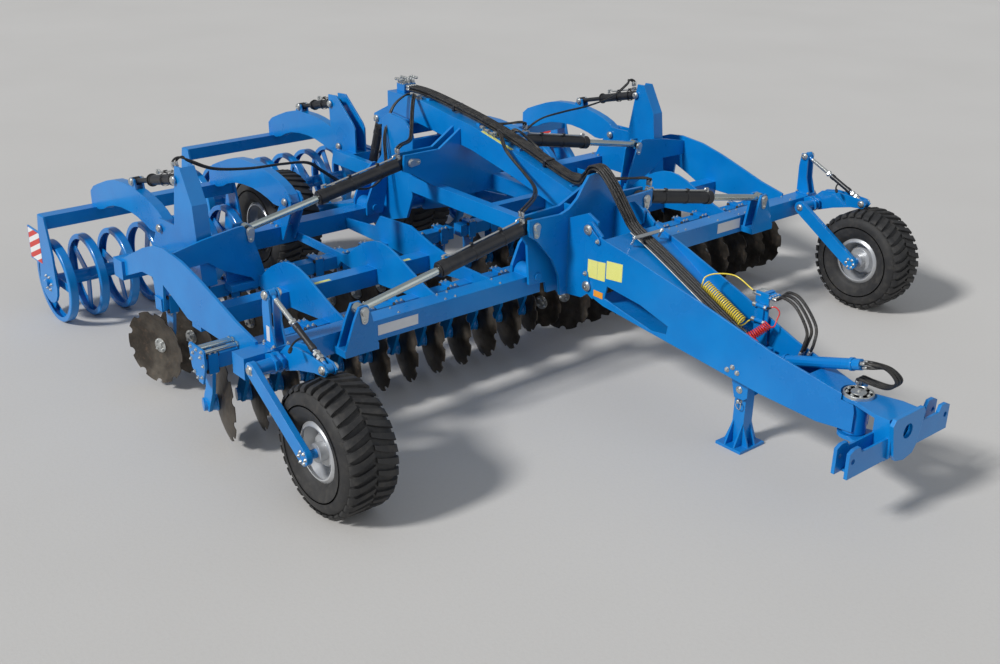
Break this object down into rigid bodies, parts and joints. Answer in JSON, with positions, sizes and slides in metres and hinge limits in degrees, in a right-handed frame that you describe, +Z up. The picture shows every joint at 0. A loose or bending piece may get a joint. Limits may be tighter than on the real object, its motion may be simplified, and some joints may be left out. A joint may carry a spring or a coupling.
{
  "type": "disc harrow",
  "caption": "Trailed compact disc harrow with folding wings, two rows of notched discs, ring rollers, gauge and transport wheels, blue paint.",
  "frame": {"origin": "middle of the machine's outline, seen from above, on the floor it stands on", "axes": "+X to the machine's right, +Y to the rear, away from the hitch, +Z up"},
  "size_m": [6.1229, 7.7899, 1.844],
  "materials": {
    "blue_paint": "gloss",
    "black_paint": "satin",
    "disc_steel": "satin",
    "bright_steel": "satin",
    "rod_chrome": "gloss",
    "rim_silver": "satin",
    "tyre_rubber": "matte",
    "hose_rubber": "satin",
    "yellow_plastic": "gloss",
    "red_plastic": "gloss"
  },
  "bodies": {
    "frame": {"drawbar": "blue_paint", "front_tower": "blue_paint", "centre_frame": "blue_paint", "top_beam": "blue_paint", "rear_tower": "blue_paint", "roller_bracket": "blue_paint", "hose_post": "blue_paint", "frame_hoses": "hose_rubber", "front_hose_loops": "hose_rubber", "yellow_coil": "yellow_plastic", "red_coil": "red_plastic", "centre_roller_arm": "blue_paint", "centre_depth_cylinder": "black_paint"},
    "hitch": {"hitch_crossbar": "blue_paint", "king_pin": "bright_steel"},
    "leg": {"parking_leg": "blue_paint"},
    "carriage": {"lift_carriage": "blue_paint"},
    "lift_barrel_body": {"lift_barrel": "black_paint"},
    "lift_rod_body": {"lift_rod": "rod_chrome"},
    "centre_roller_body": {"centre_roller": "blue_paint"},
    "left_transport_wheel": {"left_transport_tyre": "tyre_rubber", "left_transport_rim": "rim_silver"},
    "right_transport_wheel": {"right_transport_tyre": "tyre_rubber", "right_transport_rim": "rim_silver"},
    "left_wing": {"left_wing_frame": "blue_paint", "left_disc_arms": "blue_paint", "left_discs": "disc_steel", "left_gauge_arm": "blue_paint", "left_roller_arm": "blue_paint", "left_depth_cylinder": "black_paint"},
    "left_gauge_wheel": {"left_gauge_tyre": "tyre_rubber", "left_gauge_rim": "rim_silver"},
    "left_roller_body": {"left_roller": "blue_paint"},
    "left_front_barrel_body": {"left_front_barrel": "black_paint"},
    "left_front_rod_body": {"left_front_rod": "rod_chrome"},
    "left_rear_barrel_body": {"left_rear_barrel": "black_paint"},
    "left_rear_rod_body": {"left_rear_rod": "rod_chrome"},
    "right_wing": {"right_wing_frame": "blue_paint", "right_disc_arms": "blue_paint", "right_discs": "disc_steel", "right_gauge_arm": "blue_paint", "right_roller_arm": "blue_paint", "right_depth_cylinder": "black_paint"},
    "right_gauge_wheel": {"right_gauge_tyre": "tyre_rubber", "right_gauge_rim": "rim_silver"},
    "right_roller_body": {"right_roller": "blue_paint"},
    "right_front_barrel_body": {"right_front_barrel": "black_paint"},
    "right_front_rod_body": {"right_front_rod": "rod_chrome"},
    "right_rear_barrel_body": {"right_rear_barrel": "black_paint"},
    "right_rear_rod_body": {"right_rear_rod": "rod_chrome"}
  },
  "joints": [
    {"name": "hitch_turn", "type": "hinge", "parent": "frame", "child": "hitch", "pos_m": [-0.0715, -3.522, 0.58], "axis": [0, 0, 1], "range_deg": [-20, 20]},
    {"name": "leg_swing", "type": "hinge", "parent": "frame", "child": "leg", "pos_m": [-0.0715, -2.655, 0.44], "axis": [1, 0, 0], "range_deg": [0, 90]},
    {"name": "carriage_lift", "type": "hinge", "parent": "frame", "child": "carriage", "pos_m": [-0.0715, 1.445, 0.7], "axis": [1, 0, 0], "range_deg": [-12, 12]},
    {"name": "left_transport_spin", "type": "hinge", "parent": "carriage", "child": "left_transport_wheel", "pos_m": [-0.8215, 2.295, 0.466], "axis": [1, 0, 0], "continuous": true},
    {"name": "right_transport_spin", "type": "hinge", "parent": "carriage", "child": "right_transport_wheel", "pos_m": [0.6785, 2.295, 0.466], "axis": [1, 0, 0], "continuous": true},
    {"name": "centre_roller_spin", "type": "hinge", "parent": "frame", "child": "centre_roller_body", "pos_m": [-0.0715, 3.545, 0.35], "axis": [1, 0, 0], "continuous": true},
    {"name": "left_fold", "type": "hinge", "parent": "frame", "child": "left_wing", "pos_m": [-0.5215, 0.175, 0.85], "axis": [0, 1, 0], "range_deg": [0, 76]},
    {"name": "left_gauge_spin", "type": "hinge", "parent": "left_wing", "child": "left_gauge_wheel", "pos_m": [-2.7265, -1.617, 0.437], "axis": [1, 0, 0], "continuous": true},
    {"name": "left_roller_spin", "type": "hinge", "parent": "left_wing", "child": "left_roller_body", "pos_m": [-2.1015, 2.345, 0.35], "axis": [1, 0, 0], "continuous": true},
    {"name": "left_front_barrel_turn", "type": "hinge", "parent": "frame", "child": "left_front_barrel_body", "pos_m": [-0.6445, -1.03, 1.292], "axis": [0, 1, 0], "range_deg": [-1, 96.03]},
    {"name": "left_front_rod_slide", "type": "slide", "parent": "left_front_barrel_body", "child": "left_front_rod_body", "axis": [-0.9826, 0, -0.1859], "range_m": [-0.3529, 0.003]},
    {"name": "left_rear_barrel_turn", "type": "hinge", "parent": "frame", "child": "left_rear_barrel_body", "pos_m": [-0.6585, 0.461, 1.433], "axis": [0, 1, 0], "range_deg": [-1, 104.08]},
    {"name": "left_rear_rod_slide", "type": "slide", "parent": "left_rear_barrel_body", "child": "left_rear_rod_body", "axis": [-0.9833, 0, -0.182], "range_m": [-0.4459, 0.003]},
    {"name": "right_fold", "type": "hinge", "parent": "frame", "child": "right_wing", "pos_m": [0.3785, 0.175, 0.85], "axis": [0, -1, 0], "range_deg": [0, 76]},
    {"name": "right_gauge_spin", "type": "hinge", "parent": "right_wing", "child": "right_gauge_wheel", "pos_m": [2.8665, -1.617, 0.437], "axis": [1, 0, 0], "continuous": true},
    {"name": "right_roller_spin", "type": "hinge", "parent": "right_wing", "child": "right_roller_body", "pos_m": [1.9585, 2.345, 0.35], "axis": [1, 0, 0], "continuous": true},
    {"name": "right_front_barrel_turn", "type": "hinge", "parent": "frame", "child": "right_front_barrel_body", "pos_m": [0.5015, -1.03, 1.292], "axis": [0, -1, 0], "range_deg": [-1, 96.03]},
    {"name": "right_front_rod_slide", "type": "slide", "parent": "right_front_barrel_body", "child": "right_front_rod_body", "axis": [0.9826, 0, -0.1859], "range_m": [-0.3529, 0.003]},
    {"name": "right_rear_barrel_turn", "type": "hinge", "parent": "frame", "child": "right_rear_barrel_body", "pos_m": [0.5155, 0.461, 1.433], "axis": [0, -1, 0], "range_deg": [-1, 104.08]},
    {"name": "right_rear_rod_slide", "type": "slide", "parent": "right_rear_barrel_body", "child": "right_rear_rod_body", "axis": [0.9833, 0, -0.182], "range_m": [-0.4459, 0.003]},
    {"name": "lift_barrel_turn", "type": "hinge", "parent": "frame", "child": "lift_barrel_body", "pos_m": [-0.0715, 1.625, 1.48], "axis": [1, 0, 0], "range_deg": [-15, 15]},
    {"name": "lift_rod_slide", "type": "slide", "parent": "lift_barrel_body", "child": "lift_rod_body", "axis": [0, 0.2933, -0.956], "range_m": [-0.14, 0.14]}
  ],
  "couplings": [
    {"joint": "left_front_barrel_turn", "follows": "left_fold", "ratio": 1.2504},
    {"joint": "left_front_rod_slide", "follows": "left_fold", "m_per_rad": -0.26376},
    {"joint": "left_rear_barrel_turn", "follows": "left_fold", "ratio": 1.3563},
    {"joint": "left_rear_rod_slide", "follows": "left_fold", "m_per_rad": -0.33387},
    {"joint": "right_front_barrel_turn", "follows": "right_fold", "ratio": 1.2504},
    {"joint": "right_front_rod_slide", "follows": "right_fold", "m_per_rad": -0.26376},
    {"joint": "right_rear_barrel_turn", "follows": "right_fold", "ratio": 1.3563},
    {"joint": "right_rear_rod_slide", "follows": "right_fold", "m_per_rad": -0.33387},
    {"joint": "lift_barrel_turn", "follows": "carriage_lift", "ratio": 0.24443},
    {"joint": "lift_rod_slide", "follows": "carriage_lift", "m_per_rad": -0.39957}
  ]
}
